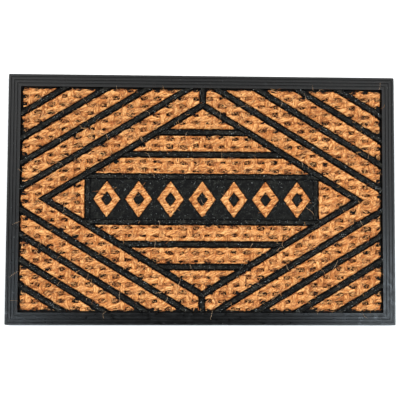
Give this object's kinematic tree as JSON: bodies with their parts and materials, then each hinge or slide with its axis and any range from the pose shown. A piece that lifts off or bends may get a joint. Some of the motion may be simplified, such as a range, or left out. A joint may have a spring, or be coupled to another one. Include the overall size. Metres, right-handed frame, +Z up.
{
  "type": "door mat",
  "caption": "Rectangular entrance mat: woven coir panels in moulded black rubber with a reeded border, diagonal ribs, a large diamond and a row of lozenges.",
  "frame": {"origin": "centre of the underside of the mat, on the floor", "axes": "+X along the long side, to the right as the mat is looked at; +Y across the mat to its back edge; +Z up"},
  "size_m": [0.7, 0.45, 0.011],
  "materials": {
    "backing_rubber": "matt, lightly textured",
    "border_rubber": "matt with a soft sheen on the reeds, dusty grey in places",
    "rib_rubber": "matt, worn paler along the tops, specks of pale dust",
    "infill_rubber": "matt, fine moulded grain",
    "coir": "coarse woven coir yarn, golden tan with brown and straw fibres"
  },
  "bodies": {
    "root": {"backing_sheet": "backing_rubber", "border_front": "border_rubber", "border_back": "border_rubber", "border_left": "border_rubber", "border_right": "border_rubber", "diagonal_ribs_back_right": "rib_rubber", "diagonal_ribs_back_left": "rib_rubber", "diagonal_ribs_front_right": "rib_rubber", "diagonal_ribs_front_left": "rib_rubber", "diamond_side_back_right": "rib_rubber", "diamond_side_back_left": "rib_rubber", "diamond_side_front_right": "rib_rubber", "diamond_side_front_left": "rib_rubber", "centre_rib_back": "rib_rubber", "centre_rib_front": "rib_rubber", "cross_ribs_back": "rib_rubber", "cross_ribs_front": "rib_rubber", "panel_rail_back": "rib_rubber", "panel_rail_front": "rib_rubber", "panel_end_right": "rib_rubber", "panel_end_left": "rib_rubber", "panel_infill": "infill_rubber", "panel_studs": "infill_rubber", "coir_corner_back_right": "coir", "coir_corner_back_left": "coir", "coir_corner_front_right": "coir", "coir_corner_front_left": "coir", "coir_outer_band_back_right": "coir", "coir_outer_band_back_left": "coir", "coir_outer_band_front_right": "coir", "coir_outer_band_front_left": "coir", "coir_middle_band_back_right": "coir", "coir_middle_band_back_left": "coir", "coir_middle_band_front_right": "coir", "coir_middle_band_front_left": "coir", "coir_inner_band_back_right": "coir", "coir_inner_band_back_left": "coir", "coir_inner_band_front_right": "coir", "coir_inner_band_front_left": "coir", "coir_chevron_right": "coir", "coir_chevron_left": "coir", "coir_peak_back": "coir", "coir_peak_front": "coir", "coir_far_strip_back": "coir", "coir_far_strip_front": "coir", "coir_near_strip_back": "coir", "coir_near_strip_front": "coir", "coir_end_right": "coir", "coir_end_left": "coir", "coir_lozenge_1": "coir", "coir_lozenge_2": "coir", "coir_lozenge_3": "coir", "coir_lozenge_4": "coir", "coir_lozenge_5": "coir", "coir_lozenge_6": "coir", "coir_lozenge_7": "coir"}
  },
  "joints": []
}
